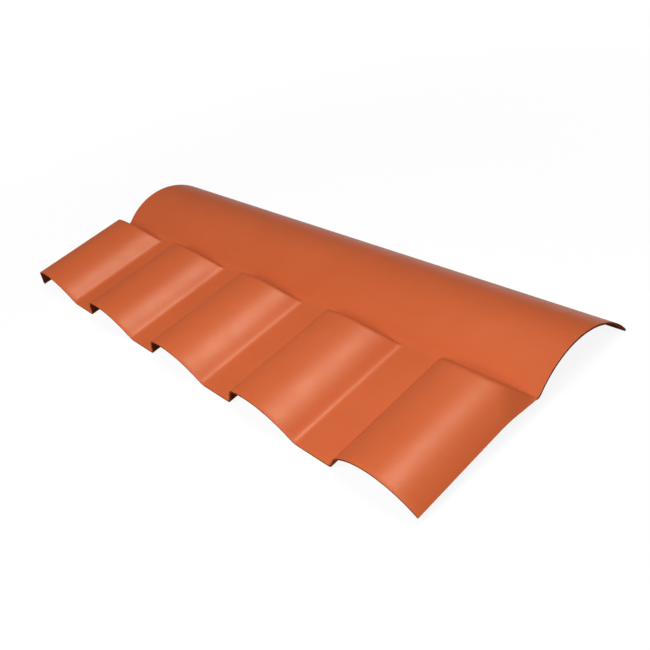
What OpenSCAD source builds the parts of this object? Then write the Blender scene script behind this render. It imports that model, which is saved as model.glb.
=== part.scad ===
// Ridge tile moulded in one thin sheet: a waved flange with tile barrels and flat pans,
// joined along a valley to a plain round roll that ends just past its crest.
// It lies on its pans' front edges and on the long free edge of the roll.

/* [Sheet] */
// Thickness of the moulded sheet
sheet_t = 2.5; // [1.5:0.1:4]

/* [Waves] */
// Distance from one riser to the next
wave_pitch = 187.5; // [165:0.5:220]
// Number of full waves, each one a barrel and a pan
wave_count = 4; // [2:1:6]
// Height of a barrel's crest over the pans
barrel_h = 32.5; // [26:0.5:38]
// Radius over a barrel's crest
barrel_r = 110; // [95:1:122]
// Distance from the riser to the crest
crest_x = 48; // [40:1:56]
// Rounding where the riser turns into the barrel
riser_r = 6; // [4:0.5:10]
// Fillet at the foot of the riser
foot_r = 3; // [1:0.5:6]
// Fillet in the crease where the barrel meets the pan
crease_r = 12; // [6:0.5:20]

/* [Side lap] */
// Width of the last barrel, which laps over the next piece
lap_w = 130; // [112:1:138]
// Height of the lap barrel's crest over the pans
lap_h = 38; // [32:0.5:44]
// Radius over the lap barrel's crest
lap_r = 87; // [82:1:105]
// Distance from the last riser to the lap barrel's crest
lap_crest_x = 65.5; // [56:0.5:72]
// Slope at which the lap barrel's outer flank is flattened near the valley
lap_flank = 31; // [24:1:36]
// Angle by which that flank dips towards the valley
lap_dip = 10; // [6:0.5:14]
// Length over which the lap's outer edge dips
lap_dip_l = 46; // [30:1:60]

/* [Flange] */
// Width of the flange, from its front edge to the line where roll and pans would meet
flange_w = 186; // [160:1:222]
// Fillet of the valley between the pans and the roll
valley_r = 20; // [8:1:30]
// Slope of the barrels' ends down into the valley
stop_slope = 53; // [46:1:58]
// Rounding from a barrel's top into that slope
stop_r = 14; // [8:1:24]
// How far the slope's foot lies past the line where roll and pans would meet
stop_reach = 2; // [0:0.5:4]
// Height of the end rounding over the barrel's crest
stop_over = 1; // [0.5:0.5:3]

/* [Roll] */
// Outer radius of the roll
roll_r = 108.5; // [98:0.5:126]
// Depth of the roll's centre below the pans
roll_drop = 85; // [75:1:94]
// Angle by which the roll runs on past the top, seen from the flange
roll_past = 61; // [50:0.5:75]

/* [Hidden] */
$fn = 96;
// Clearance by which a cut runs past the face that it opens
cut = 1;
// Fullness of the riser's rounding, by which it stands over the riser and the barrel's arc
fullness = 0.05;
// Length of the piece along the ridge
ridge_l = wave_count * wave_pitch + lap_w;
// Centre of the roll, across the flange and up from the pans
roll_c = [flange_w + sqrt(roll_r * roll_r - roll_drop * roll_drop), -roll_drop];
// Centre of the valley's fillet, which touches the pans and the roll
valley_c = [roll_c.x - sqrt(pow(roll_r + valley_r, 2) - pow(roll_drop + valley_r, 2)), valley_r];
// Angle about the roll's centre at which the roll ends
roll_end = 90 - roll_past;
// Corners of the roll's free edge, inside and outside the sheet
edge_in = roll_c + (roll_r - sheet_t) * direction(roll_end);
edge_out = roll_c + roll_r * direction(roll_end);
// Angle at which the flange rises when the piece lies on its front edge and the roll's edge
rest_tilt = atan2(-sheet_t - edge_in.y, edge_in.x);
// Front and back of the piece as it lies, measured from the pans' lower front edge
rest_front = -(max(barrel_h, lap_h) + sheet_t) * sin(rest_tilt);
rest_back = edge_out.x * cos(rest_tilt) - (edge_out.y + sheet_t) * sin(rest_tilt);

// Unit vector at an angle
function direction(a) = [cos(a), sin(a)];
// Lowest level of a barrel: within the pans for its outside, below them for its hollow
function base(inset) = inset > 0 ? -sheet_t - cut : -sheet_t / 2;

// The hollow of the valley between the pans and the roll, over the sheet or under it
module valley_fill(inset) {
    touch = roll_c + (valley_c - roll_c) * (roll_r - inset) / (roll_r + valley_r);
    inner_x = roll_c.x - sqrt(pow(roll_r - inset, 2) - pow(roll_drop - inset, 2));
    difference() {
        polygon([[valley_c.x, -inset], [valley_c.x, -inset - cut], [inner_x, -inset - cut], touch]);
        translate(valley_c)
            circle(valley_r + inset);
    }
}

// Section across the ridge, filled below: the pan, the valley and the roll
module outside_section() {
    translate([0, -sheet_t - cut])
        square([roll_c.x, sheet_t + cut]);
    translate(roll_c)
        circle(roll_r);
    valley_fill(0);
}

// All that is open under the sheet and past the roll's free edge
module inside_section() {
    far = 2 * roll_r;
    translate(roll_c)
        circle(roll_r - sheet_t);
    valley_fill(sheet_t);
    translate([-cut, -sheet_t - far])
        square([roll_c.x + cut, far]);
    translate(roll_c)
        polygon([[0, 0], for (a = [roll_end, (roll_end - 90) / 2, -90]) far * direction(a)]);
}

// The fillet between the barrel's arc and the pan
module crease_fillet(at, high, r, inset) {
    arc_c = [at, high - r];
    fillet_c = [at + sqrt(pow(r + crease_r, 2) - pow(crease_r - arc_c.y, 2)), crease_r];
    touch = arc_c + (fillet_c - arc_c) * (r - inset) / (r + crease_r);
    corner_x = at + sqrt(pow(r - inset, 2) - pow(-inset - arc_c.y, 2));
    difference() {
        polygon([touch, [corner_x, base(inset)], [fillet_c.x, base(inset)], [fillet_c.x, -inset]]);
        translate(fillet_c)
            circle(crease_r + inset);
    }
}

// The fillet at the foot of the riser, on the pan before it
module foot_fillet(inset) {
    foot_c = [-foot_r, foot_r];
    difference() {
        translate([foot_c.x, base(inset)])
            square([foot_r + inset + cut, foot_r - base(inset)]);
        translate(foot_c)
            circle(foot_r + inset);
    }
}

// A barrel's section along the ridge from its riser on: its outside, or with an inset its inside
module barrel_section(at, high, r, inset, after_pan) {
    arc_c = [at, high - r];
    round_c = [riser_r, arc_c.y + sqrt(pow(r - riser_r, 2) - pow(riser_r - at, 2))];
    beyond = round_c + (round_c - arc_c) * 2 * riser_r / (r - riser_r);
    low = base(inset);
    intersection() {
        translate(arc_c)
            circle(r - inset);
        polygon([[round_c.x, low], round_c, beyond, [at + r, high + r], [at + r, low]]);
    }
    translate(round_c)
        circle(riser_r - inset + fullness);
    translate([inset, low])
        square([2 * riser_r, round_c.y - low]);
    crease_fillet(at, high, r, inset);
    if (after_pan)
        foot_fillet(inset);
}

// A barrel's section across the ridge: level, then rounded into the slope at the valley
module stop_section(high, inset) {
    top = high + stop_over;
    foot = flange_w + stop_reach;
    round_c = [foot - (stop_r + (top - stop_r) * cos(stop_slope)) / sin(stop_slope), top - stop_r];
    touch = round_c + (stop_r - inset) * direction(90 - stop_slope);
    front = inset > 0 ? -cut : 0;
    difference() {
        union() {
            polygon([
                [front, base(inset)],
                [front, top - inset],
                [round_c.x, top - inset],
                touch,
                [touch.x + (touch.y - base(inset)) / tan(stop_slope), base(inset)]
            ]);
            translate(round_c)
                circle(stop_r - inset);
        }
        translate([front - cut, base(inset) - 2 * stop_r])
            square([flange_w + roll_r, 2 * stop_r]);
    }
}

// A barrel as a solid, or with an inset the hollow under it
module barrel(at, high, r, wide, inset, after_pan) {
    intersection() {
        translate([0, flange_w + roll_r, 0])
            rotate([90, 0, 0])
                linear_extrude(flange_w + roll_r + cut)
                    barrel_section(at, high, r, inset, after_pan);
        translate([-foot_r - cut, 0, 0])
            rotate([90, 0, 90])
                linear_extrude(wide + foot_r + cut)
                    stop_section(high, inset);
    }
}

// The lap barrel, whose outer flank dips before its end
module lap_barrel(inset) {
    edge_n = lap_h - lap_r + sqrt(pow(lap_r, 2) - pow(lap_w - lap_crest_x, 2));
    far = 2 * ridge_l;
    intersection() {
        barrel(lap_crest_x, lap_h, lap_r, lap_w + (inset > 0 ? cut : 0), inset, true);
        translate([lap_w, flange_w - lap_dip_l, edge_n])
            rotate([-lap_dip, lap_flank, 0])
                translate([-far / 2, -far / 2, -far - inset])
                    cube(far);
    }
}

// All barrels in their places, solid or hollow
module barrels(inset) {
    for (k = [0 : wave_count - 1])
        translate([k * wave_pitch, 0, 0])
            barrel(crest_x, barrel_h, barrel_r, wave_pitch, inset, k > 0);
    translate([wave_count * wave_pitch, 0, 0])
        lap_barrel(inset);
}

// The whole sheet, turned to the way it lies and set over the middle of its base
module ridge_tile() {
    color("#c85d37")
        translate([-ridge_l / 2, -(rest_front + rest_back) / 2, 0])
            rotate([rest_tilt, 0, 0])
                translate([0, 0, sheet_t])
                    difference() {
                        union() {
                            rotate([90, 0, 90])
                                linear_extrude(ridge_l)
                                    outside_section();
                            barrels(0);
                        }
                        translate([-cut, 0, 0])
                            rotate([90, 0, 90])
                                linear_extrude(ridge_l + 2 * cut)
                                    inside_section();
                        barrels(sheet_t);
                    }
}

ridge_tile();
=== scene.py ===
import math

import bpy
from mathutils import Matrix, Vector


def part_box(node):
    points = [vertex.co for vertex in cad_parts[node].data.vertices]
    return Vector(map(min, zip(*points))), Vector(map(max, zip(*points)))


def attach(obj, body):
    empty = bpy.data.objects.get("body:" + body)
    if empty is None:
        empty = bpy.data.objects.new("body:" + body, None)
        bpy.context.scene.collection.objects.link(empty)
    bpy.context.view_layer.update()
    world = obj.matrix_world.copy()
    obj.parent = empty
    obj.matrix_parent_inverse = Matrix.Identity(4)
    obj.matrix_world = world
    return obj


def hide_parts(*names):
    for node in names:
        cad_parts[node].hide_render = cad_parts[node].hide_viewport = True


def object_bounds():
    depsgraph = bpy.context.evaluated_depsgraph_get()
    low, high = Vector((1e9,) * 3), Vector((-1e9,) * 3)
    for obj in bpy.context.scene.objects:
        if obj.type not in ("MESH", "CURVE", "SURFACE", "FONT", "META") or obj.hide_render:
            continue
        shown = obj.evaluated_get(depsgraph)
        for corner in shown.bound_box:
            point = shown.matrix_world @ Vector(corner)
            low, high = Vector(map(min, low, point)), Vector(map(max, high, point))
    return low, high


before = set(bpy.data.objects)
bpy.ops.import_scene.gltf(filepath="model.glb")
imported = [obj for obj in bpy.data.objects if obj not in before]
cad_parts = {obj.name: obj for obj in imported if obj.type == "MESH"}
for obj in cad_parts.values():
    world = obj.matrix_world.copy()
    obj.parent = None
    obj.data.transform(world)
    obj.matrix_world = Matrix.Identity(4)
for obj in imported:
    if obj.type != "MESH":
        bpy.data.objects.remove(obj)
cad_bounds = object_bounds()

# Ridge tile
# One skin of terracotta plastic, moulded hot over a former: a flange waved like the roof tiles below it,
# a valley along the flange's back, and a plain round roll that ends in a free edge just past its crest.
MM = 0.001
low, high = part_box("ridge_tile")
ridge_l = high.x - low.x
sheet_t = 2.5 * MM
pitch, waves = 187.5 * MM, 4
barrel_h, barrel_r, crest_x = 32.5 * MM, 110 * MM, 48 * MM
lap_h, lap_r, lap_crest_x = 38 * MM, 87 * MM, 65.5 * MM
# A stop is a barrel's closed back end, and a softness is the height over which two faces of a wave run together.
riser_slope, riser_soft, crease_soft = math.radians(57), 10 * MM, 9 * MM
flange_w, valley_r = 186 * MM, 20 * MM
stop_slope, lap_stop_slope, stop_short, stop_soft = math.radians(65), math.radians(55), 6.5 * MM, 7 * MM
lap_flank, lap_dip, lap_dip_l, flank_soft = math.radians(48), math.radians(11.6), 46 * MM, 5 * MM
roll_r, roll_drop, roll_past = 108.5 * MM, 85 * MM, math.radians(61)
edge_round = 0.4 * MM

# The section across the ridge as one line: level pans, the valley's bend, and the roll's arc to its free edge.
roll_centre = flange_w + math.sqrt(roll_r**2 - roll_drop**2)
bend = math.acos((roll_drop + valley_r) / (roll_r + valley_r))
pan_l = roll_centre - math.sin(bend) * (roll_r + valley_r)
valley_l = valley_r * bend
section_l = pan_l + valley_l + roll_r * (bend + roll_past)
edge_inner_y = roll_centre + (roll_r - sheet_t) * math.sin(roll_past)
edge_inner_z = -roll_drop + (roll_r - sheet_t) * math.cos(roll_past)
rest_tilt = math.atan2(-sheet_t - edge_inner_z, edge_inner_y)
rest_front = -(max(barrel_h, lap_h) + sheet_t) * math.sin(rest_tilt)
lap_w = ridge_l - waves * pitch
lap_edge_h = lap_h - lap_r + math.sqrt(lap_r**2 - (lap_w - lap_crest_x) ** 2)


def add(tree, kind, *values, **settings):
    """Adds a node with its settings, and sets or links its inputs, given in order or by name."""
    node = tree.nodes.new(kind)
    for name, value in settings.items():
        setattr(node, name, value)
    inputs = values[0] if values and isinstance(values[0], dict) else dict(enumerate(values))
    for key, value in inputs.items():
        if isinstance(value, bpy.types.Node):
            value = value.outputs[0]
        if isinstance(value, bpy.types.NodeSocket):
            tree.links.new(value, node.inputs[key])
        else:
            node.inputs[key].default_value = value
    return node


# The plastic is terracotta-pigmented PVC with a satin skin: an even warm orange that drifts a little in tone,
# a soft wide sheen, and a fine grain from the tool that breaks the sheen up, drawn coarser than it is to show at all.
def linear(code):
    """An sRGB hex colour as linear RGBA."""
    parts = [int(code[i : i + 2], 16) / 255 for i in (1, 3, 5)]
    return (*[c / 12.92 if c <= 0.04045 else ((c + 0.055) / 1.055) ** 2.4 for c in parts], 1)


plastic = bpy.data.materials.new("terracotta_pvc_satin")
plastic.use_nodes = True
paint = plastic.node_tree
paint.nodes.clear()
place = add(paint, "ShaderNodeTexCoord").outputs["Object"]
drift_size, cloud_size, drift_share = 220 * MM, 45 * MM, 0.65
drift = add(paint, "ShaderNodeTexNoise", {"Vector": place, "Scale": 1 / drift_size, "Detail": 2.0})
cloud = add(paint, "ShaderNodeTexNoise", {"Vector": place, "Scale": 1 / cloud_size, "Detail": 4.0})
tone = add(paint, "ShaderNodeMath", drift, drift_share, operation="MULTIPLY")
tone = add(paint, "ShaderNodeMath", cloud, 1 - drift_share, tone, operation="MULTIPLY_ADD")
low_noise, high_noise = 0.3, 0.7
colour = add(paint, "ShaderNodeValToRGB", tone)
deep, light = colour.color_ramp.elements
deep.position, deep.color = low_noise, linear("#c15a30")
light.position, light.color = high_noise, linear("#c96137")
sheen_size, glossiest, dullest = 28 * MM, 0.34, 0.4
sheen = add(paint, "ShaderNodeTexNoise", {"Vector": place, "Scale": 1 / sheen_size, "Detail": 3.0})
rough = add(paint, "ShaderNodeMapRange", sheen, low_noise, high_noise, glossiest, dullest)
grain_size, grain_depth, grain_strength = 1.6 * MM, 0.05 * MM, 0.3
peel_size, peel_depth, peel_strength = 9 * MM, 0.15 * MM, 0.25
grain = add(paint, "ShaderNodeTexNoise", {"Vector": place, "Scale": 1 / grain_size, "Detail": 2.0})
peel = add(paint, "ShaderNodeTexNoise", {"Vector": place, "Scale": 1 / peel_size, "Detail": 1.0})
waviness = add(paint, "ShaderNodeBump", {"Strength": peel_strength, "Distance": peel_depth, "Height": peel})
relief = add(
    paint,
    "ShaderNodeBump",
    {"Strength": grain_strength, "Distance": grain_depth, "Height": grain, "Normal": waviness},
)
skin = add(
    paint,
    "ShaderNodeBsdfPrincipled",
    {"Base Color": colour, "Roughness": rough, "Normal": relief, "IOR": 1.5, "Specular Tint": linear("#ffe0c4")},
)
add(paint, "ShaderNodeOutputMaterial", skin)

# The back of the sheet and its trimmed edges are the same plastic without the satin skin: matt, and a deeper brown
# that is partly painted shade for the dim hollows and edges, with small flecks where the former and the saw have
# scuffed it.
matt_back_with_painted_shade = bpy.data.materials.new("terracotta_pvc_matt_painted_shade")
matt_back_with_painted_shade.use_nodes = True
back = matt_back_with_painted_shade.node_tree
back.nodes.clear()
place = add(back, "ShaderNodeTexCoord").outputs["Object"]
fleck_size = 3 * MM
fleck = add(back, "ShaderNodeTexNoise", {"Vector": place, "Scale": 1 / fleck_size, "Detail": 3.0})
brown = add(back, "ShaderNodeValToRGB", fleck)
deep, light = brown.color_ramp.elements
# painted shade: this darker brown stands in for the shade in the hollows and on the edges, as well as the back's own
# tone
deep.position, deep.color = 0.35, linear("#8a3d20")
light.position, light.color = 0.65, linear("#9c4826")
dull = add(
    back, "ShaderNodeBsdfPrincipled", {"Base Color": brown, "Roughness": 0.9, "IOR": 1.5, "Specular IOR Level": 0.1}
)
add(back, "ShaderNodeOutputMaterial", dull)

# The waves follow one rule along the ridge: a steep riser, an arc over the crest, a crease and a flat pan.
# Columns of the net crowd together at every third of a wave, and so at each riser and at each crease.
wave_rule = bpy.data.node_groups.new("ridge_tile_skin", "GeometryNodeTree")
wave_rule.interface.new_socket("Skin", in_out="OUTPUT", socket_type="NodeSocketGeometry")
sizes = {
    "Ridge Length": ridge_l,
    "Wave Pitch": pitch,
    "Barrel Height": barrel_h,
    "Barrel Radius": barrel_r,
    "Barrel Crest": crest_x,
    "Lap Height": lap_h,
    "Lap Radius": lap_r,
    "Lap Crest": lap_crest_x,
    "Lap Width": lap_w,
    "Lap Edge Height": lap_edge_h,
    "Riser Steepness": math.tan(riser_slope),
    "Riser Softness": riser_soft,
    "Crease Softness": crease_soft,
    "Flank Steepness": math.tan(lap_flank),
    "Flank Softness": flank_soft,
    "Dip Start": flange_w - lap_dip_l,
    "Dip Steepness": -math.tan(lap_dip),
    "Stop Foot": flange_w - stop_short,
    "Stop Steepness": math.tan(stop_slope),
    "Lap Stop Foot": flange_w,
    "Lap Stop Steepness": math.tan(lap_stop_slope),
    "Stop Softness": stop_soft,
    "Pan Length": pan_l,
    "Valley Radius": valley_r,
    "Valley Length": valley_l,
    "Valley Bend": bend,
    "Roll Radius": roll_r,
    "Section Length": section_l,
    "Sheet": sheet_t,
}
sockets = {}
for name in sizes:
    sockets[name] = wave_rule.interface.new_socket(name, in_out="INPUT", socket_type="NodeSocketFloat")
size = add(wave_rule, "NodeGroupInput").outputs
columns_a_wave, crowds_a_wave, crowding = 88, 3, 0.8
rows, row_crowding = 96, 0.72
crowd_turn, half = 2 * math.pi * crowds_a_wave, 0.5
net = add(wave_rule, "GeometryNodeMeshGrid", 1.0, 1.0, columns_a_wave * (waves + 1) + 1, rows)
cell = add(wave_rule, "ShaderNodeSeparateXYZ", add(wave_rule, "GeometryNodeInputPosition"))
share = add(wave_rule, "ShaderNodeMath", cell.outputs["X"], half, operation="ADD")
phase = add(wave_rule, "ShaderNodeMath", share, waves + 1, -half / columns_a_wave, operation="MULTIPLY_ADD")
turn = add(wave_rule, "ShaderNodeMath", phase, crowd_turn, operation="MULTIPLY")
swing = add(wave_rule, "ShaderNodeMath", turn, operation="SINE")
crowded = add(wave_rule, "ShaderNodeMath", swing, -crowding / crowd_turn, phase, operation="MULTIPLY_ADD")
free_x = add(wave_rule, "ShaderNodeMath", crowded, size["Wave Pitch"], operation="MULTIPLY")
x = add(wave_rule, "ShaderNodeClamp", free_x, 0.0, size["Ridge Length"])
step = add(wave_rule, "ShaderNodeMath", phase, operation="FLOOR")
wave = add(wave_rule, "ShaderNodeClamp", step, 0.0, float(waves))
start = add(wave_rule, "ShaderNodeMath", wave, size["Wave Pitch"], operation="MULTIPLY")
along = add(wave_rule, "ShaderNodeMath", x, start, operation="SUBTRACT")
is_lap = add(wave_rule, "ShaderNodeMath", wave, waves - half, operation="GREATER_THAN")
is_end = add(wave_rule, "ShaderNodeMath", phase, 0.0, operation="LESS_THAN")
top = add(wave_rule, "ShaderNodeMix", {0: is_lap, 2: size["Barrel Height"], 3: size["Lap Height"]})
radius = add(wave_rule, "ShaderNodeMix", {0: is_lap, 2: size["Barrel Radius"], 3: size["Lap Radius"]})
crest = add(wave_rule, "ShaderNodeMix", {0: is_lap, 2: size["Barrel Crest"], 3: size["Lap Crest"]})

# The arc over the crest, the riser that it springs from, and the foot of the next riser.
off_crest = add(wave_rule, "ShaderNodeMath", along, crest, operation="SUBTRACT")
off_square = add(wave_rule, "ShaderNodeMath", off_crest, off_crest, operation="MULTIPLY")
radius_square = add(wave_rule, "ShaderNodeMath", radius, radius, operation="MULTIPLY")
left_over = add(wave_rule, "ShaderNodeMath", radius_square, off_square, operation="SUBTRACT")
rise = add(wave_rule, "ShaderNodeMath", left_over, operation="SQRT")
sunk = add(wave_rule, "ShaderNodeMath", top, radius, operation="SUBTRACT")
arc = add(wave_rule, "ShaderNodeMath", rise, sunk, operation="ADD")
riser = add(wave_rule, "ShaderNodeMath", along, size["Riser Steepness"], operation="MULTIPLY")
barrel = add(wave_rule, "ShaderNodeMath", arc, riser, size["Riser Softness"], operation="SMOOTH_MIN")
to_next = add(wave_rule, "ShaderNodeMath", along, size["Wave Pitch"], operation="SUBTRACT")
next_riser = add(wave_rule, "ShaderNodeMath", to_next, size["Riser Steepness"], operation="MULTIPLY")
barrel = add(wave_rule, "ShaderNodeMath", barrel, next_riser, operation="MAXIMUM")

# The barrels' back ends slope down into the valley, and the lap barrel's outer flank dips with its own. On the other
# barrels that flank is lifted a metre, out of the way. Rows of the net crowd together at the valley.
across = add(wave_rule, "ShaderNodeMath", cell.outputs["Y"], half, operation="ADD")
lean = add(wave_rule, "ShaderNodeMath", across, 2 * math.pi, operation="MULTIPLY")
lean = add(wave_rule, "ShaderNodeMath", lean, operation="SINE")
crowded_row = add(wave_rule, "ShaderNodeMath", lean, row_crowding / (2 * math.pi), across, operation="MULTIPLY_ADD")
way = add(wave_rule, "ShaderNodeMath", crowded_row, size["Section Length"], operation="MULTIPLY")
foot = add(wave_rule, "ShaderNodeMix", {0: is_lap, 2: size["Stop Foot"], 3: size["Lap Stop Foot"]})
steep = add(wave_rule, "ShaderNodeMix", {0: is_lap, 2: size["Stop Steepness"], 3: size["Lap Stop Steepness"]})
to_foot = add(wave_rule, "ShaderNodeMath", foot, way, operation="SUBTRACT")
slope = add(wave_rule, "ShaderNodeMath", to_foot, steep, operation="MULTIPLY")
stopped = add(wave_rule, "ShaderNodeMath", barrel, slope, size["Stop Softness"], operation="SMOOTH_MIN")
from_edge = add(wave_rule, "ShaderNodeMath", size["Lap Width"], along, operation="SUBTRACT")
flank = add(
    wave_rule,
    "ShaderNodeMath",
    from_edge,
    size["Flank Steepness"],
    size["Lap Edge Height"],
    operation="MULTIPLY_ADD",
)
dip_way = add(wave_rule, "ShaderNodeMath", way, size["Dip Start"], operation="SUBTRACT")
dipped = add(wave_rule, "ShaderNodeMath", dip_way, size["Dip Steepness"], flank, operation="MULTIPLY_ADD")
not_lap = add(wave_rule, "ShaderNodeMath", 1.0, is_lap, operation="SUBTRACT")
dipped = add(wave_rule, "ShaderNodeMath", dipped, not_lap, operation="ADD")
stopped = add(wave_rule, "ShaderNodeMath", stopped, dipped, size["Flank Softness"], operation="SMOOTH_MIN")
wave_h = add(wave_rule, "ShaderNodeMath", stopped, 0.0, size["Crease Softness"], operation="SMOOTH_MAX")

# The first riser has a lower edge of its own at the end of the piece.
end_h = add(wave_rule, "ShaderNodeMath", size["Sheet"], -1.0, operation="MULTIPLY")
wave_h = add(wave_rule, "ShaderNodeMix", {0: is_end, 2: wave_h, 3: end_h})

# The section's line bends up through the valley and over the roll, and carries the waves on its normal.
flat = add(wave_rule, "ShaderNodeMath", way, size["Pan Length"], operation="MINIMUM")
past_pan = add(wave_rule, "ShaderNodeMath", way, size["Pan Length"], operation="SUBTRACT")
in_valley = add(wave_rule, "ShaderNodeClamp", past_pan, 0.0, size["Valley Length"])
valley_turn = add(wave_rule, "ShaderNodeMath", in_valley, size["Valley Radius"], operation="DIVIDE")
past_valley = add(wave_rule, "ShaderNodeMath", past_pan, size["Valley Length"], operation="SUBTRACT")
on_roll = add(wave_rule, "ShaderNodeMath", past_valley, 0.0, operation="MAXIMUM")
roll_turn = add(wave_rule, "ShaderNodeMath", on_roll, size["Roll Radius"], operation="DIVIDE")
roll_angle = add(wave_rule, "ShaderNodeMath", roll_turn, size["Valley Bend"], operation="SUBTRACT")
valley_sine = add(wave_rule, "ShaderNodeMath", valley_turn, operation="SINE")
valley_cosine = add(wave_rule, "ShaderNodeMath", valley_turn, operation="COSINE")
roll_sine = add(wave_rule, "ShaderNodeMath", roll_angle, operation="SINE")
roll_cosine = add(wave_rule, "ShaderNodeMath", roll_angle, operation="COSINE")
roll_sine = add(wave_rule, "ShaderNodeMath", roll_sine, math.sin(bend), operation="ADD")
roll_cosine = add(wave_rule, "ShaderNodeMath", roll_cosine, math.cos(bend), operation="SUBTRACT")
valley_lift = add(wave_rule, "ShaderNodeMath", 1.0, valley_cosine, operation="SUBTRACT")
line_y = add(wave_rule, "ShaderNodeMath", valley_sine, size["Valley Radius"], flat, operation="MULTIPLY_ADD")
line_y = add(wave_rule, "ShaderNodeMath", roll_sine, size["Roll Radius"], line_y, operation="MULTIPLY_ADD")
line_z = add(wave_rule, "ShaderNodeMath", valley_lift, size["Valley Radius"], operation="MULTIPLY")
line_z = add(wave_rule, "ShaderNodeMath", roll_cosine, size["Roll Radius"], line_z, operation="MULTIPLY_ADD")
heading = add(wave_rule, "ShaderNodeMath", valley_turn, roll_turn, operation="SUBTRACT")
heading_sine = add(wave_rule, "ShaderNodeMath", heading, operation="SINE")
heading_cosine = add(wave_rule, "ShaderNodeMath", heading, operation="COSINE")
lift_y = add(wave_rule, "ShaderNodeMath", heading_sine, wave_h, operation="MULTIPLY")
y = add(wave_rule, "ShaderNodeMath", line_y, lift_y, operation="SUBTRACT")
z = add(wave_rule, "ShaderNodeMath", heading_cosine, wave_h, line_z, operation="MULTIPLY_ADD")
z = add(wave_rule, "ShaderNodeMath", z, size["Sheet"], operation="ADD")
spot = add(wave_rule, "ShaderNodeCombineXYZ", x, y, z)
formed = add(wave_rule, "GeometryNodeSetPosition", {"Geometry": net, "Position": spot})
weld = 0.03 * MM
closed = add(wave_rule, "GeometryNodeMergeByDistance", {"Geometry": formed, "Distance": weld})
smooth = add(wave_rule, "GeometryNodeSetShadeSmooth", {"Geometry": closed})
laid = add(
    wave_rule,
    "GeometryNodeTransform",
    {
        "Geometry": smooth,
        "Translation": (low.x, low.y - rest_front, 0.0),
        "Rotation": (rest_tilt, 0.0, 0.0),
    },
)
real = add(wave_rule, "GeometryNodeRealizeInstances", laid)
dressed = add(wave_rule, "GeometryNodeSetMaterial", {"Geometry": real, "Material": plastic})
add(wave_rule, "NodeGroupOutput", dressed)

# The formed face gets the sheet's thickness below it, and its trimmed edges are rounded.
skin_maker = bpy.data.objects.new("skin_maker", bpy.data.meshes.new("skin_maker"))
bpy.context.scene.collection.objects.link(skin_maker)
forming = skin_maker.modifiers.new("forming", "NODES")
forming.node_group = wave_rule
for name, value in sizes.items():
    forming[sockets[name].identifier] = value
thickness = skin_maker.modifiers.new("sheet thickness", "SOLIDIFY")
thickness.thickness = sheet_t
thickness.offset = -1
thickness.use_even_offset = True
trimming = skin_maker.modifiers.new("trimmed edges", "BEVEL")
trimming.width = edge_round
trimming.segments = 2
trimming.limit_method = "ANGLE"
sharp = math.radians(60)
trimming.angle_limit = sharp
made = bpy.data.meshes.new_from_object(skin_maker.evaluated_get(bpy.context.evaluated_depsgraph_get()))
bpy.data.objects.remove(skin_maker)

# Faces that look up are the satin skin, and all others are its back or its trimmed edges, in the matt brown that is
# partly painted shade.
least_lift = 0.3
made.materials.clear()
made.materials.append(plastic)
made.materials.append(matt_back_with_painted_shade)
for face in made.polygons:
    face.material_index = 0 if face.normal.z > least_lift else 1
tile = bpy.data.objects.new("ridge_tile_skin", made)
bpy.context.scene.collection.objects.link(tile)
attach(tile, "root")
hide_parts("ridge_tile")

# Floor
# A plain studio sweep of paper, grey to the light that it throws back. The camera sees it as white: near the tile
# a tenth of it takes the shadow, and further off it is all white. Reflections show it dimmer, as a sweep outside
# the light.
floor_half, shadow_reach, white_reach = 6.0, 0.5, 1.1
shadow_share, mirror_share = 0.1, 0.4
floor_mesh = bpy.data.meshes.new("floor")
corners = [(-floor_half, -floor_half, 0), (floor_half, -floor_half, 0), (floor_half, floor_half, 0)]
floor_mesh.from_pydata([*corners, (-floor_half, floor_half, 0)], [], [(0, 1, 2, 3)])
floor = bpy.data.objects.new("floor", floor_mesh)
bpy.context.scene.collection.objects.link(floor)
paper = bpy.data.materials.new("white_paper")
paper.use_nodes = True
sheet = paper.node_tree
sheet.nodes.clear()
ray = add(sheet, "ShaderNodeLightPath")
mirrored = add(sheet, "ShaderNodeMath", ray.outputs["Is Glossy Ray"], mirror_share, operation="MULTIPLY")
seen = add(sheet, "ShaderNodeMath", ray.outputs["Is Camera Ray"], mirrored, operation="MAXIMUM")
seen = add(sheet, "ShaderNodeMath", seen, ray.outputs["Is Transmission Ray"], operation="MAXIMUM")
ground = add(sheet, "ShaderNodeTexCoord").outputs["Object"]
away = add(sheet, "ShaderNodeVectorMath", ground, operation="LENGTH").outputs["Value"]
white_share = add(sheet, "ShaderNodeMapRange", away, shadow_reach, white_reach, 1 - shadow_share, 1.0)
glow_share = add(sheet, "ShaderNodeMath", seen, white_share, operation="MULTIPLY")
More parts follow.
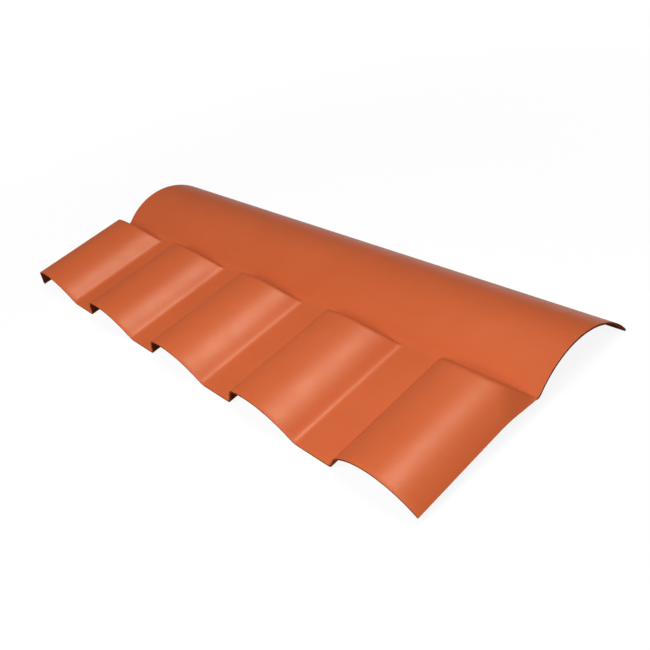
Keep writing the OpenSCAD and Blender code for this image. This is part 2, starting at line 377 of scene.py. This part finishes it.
shade = add(sheet, "ShaderNodeMix", {0: seen, 6: linear("#707070"), 7: linear("#ffffff")}, data_type="RGBA")
matt = add(sheet, "ShaderNodeBsdfDiffuse", shade.outputs[2])
glow = add(sheet, "ShaderNodeEmission", linear("#ffffff"), 1.0)
add(sheet, "ShaderNodeOutputMaterial", add(sheet, "ShaderNodeMixShader", glow_share, matt, glow))
floor_mesh.materials.append(paper)

# Studio light
# A broad softbox hangs high over the roll and gives the long sheen on the barrels. A smaller one lights the front
# from the left of the camera, and a little light comes from all round.
middle = (cad_bounds[0] + cad_bounds[1]) / 2


def softbox(name, place, wide, watts):
    """A square soft lamp that faces the middle of the tile."""
    lamp = bpy.data.lights.new(name, "AREA")
    lamp.shape = "RECTANGLE"
    lamp.size = lamp.size_y = wide
    lamp.energy = watts
    box = bpy.data.objects.new(name, lamp)
    box.location = place
    box.rotation_mode = "QUATERNION"
    box.rotation_quaternion = (middle - box.location).to_track_quat("-Z", "Y")
    bpy.context.scene.collection.objects.link(box)


softbox("overhead", place=(0.55, 0.75, 4.45), wide=1.75, watts=88)
softbox("front", place=(0.78, -1.35, 1.6), wide=1.1, watts=39)
studio = bpy.data.worlds.new("studio")
studio.use_nodes = True
air = studio.node_tree
air.nodes.clear()
ray = add(air, "ShaderNodeLightPath")
all_round = 0.08
ambient = add(air, "ShaderNodeBackground", linear("#ffffff"), all_round)
white = add(air, "ShaderNodeBackground", linear("#ffffff"), 1.0)
add(air, "ShaderNodeOutputWorld", add(air, "ShaderNodeMixShader", ray.outputs["Is Camera Ray"], ambient, white))
bpy.context.scene.world = studio

# Camera
# It stands off the lap end, in front of the flange and well above it, and looks along the tile. It is turned a
# little about its own line of sight, as the photograph's view is.
lens = bpy.data.cameras.new("camera")
lens.sensor_width = 36
lens.lens = 43.66
camera = bpy.data.objects.new("camera", lens)
camera.location = (0.8428, -0.4742, 0.5818)
camera.rotation_euler = [math.radians(a) for a in (55.29, 13.41, 47.99)]
bpy.context.scene.collection.objects.link(camera)
bpy.context.scene.camera = camera
bpy.context.scene.view_settings.view_transform = "Standard"
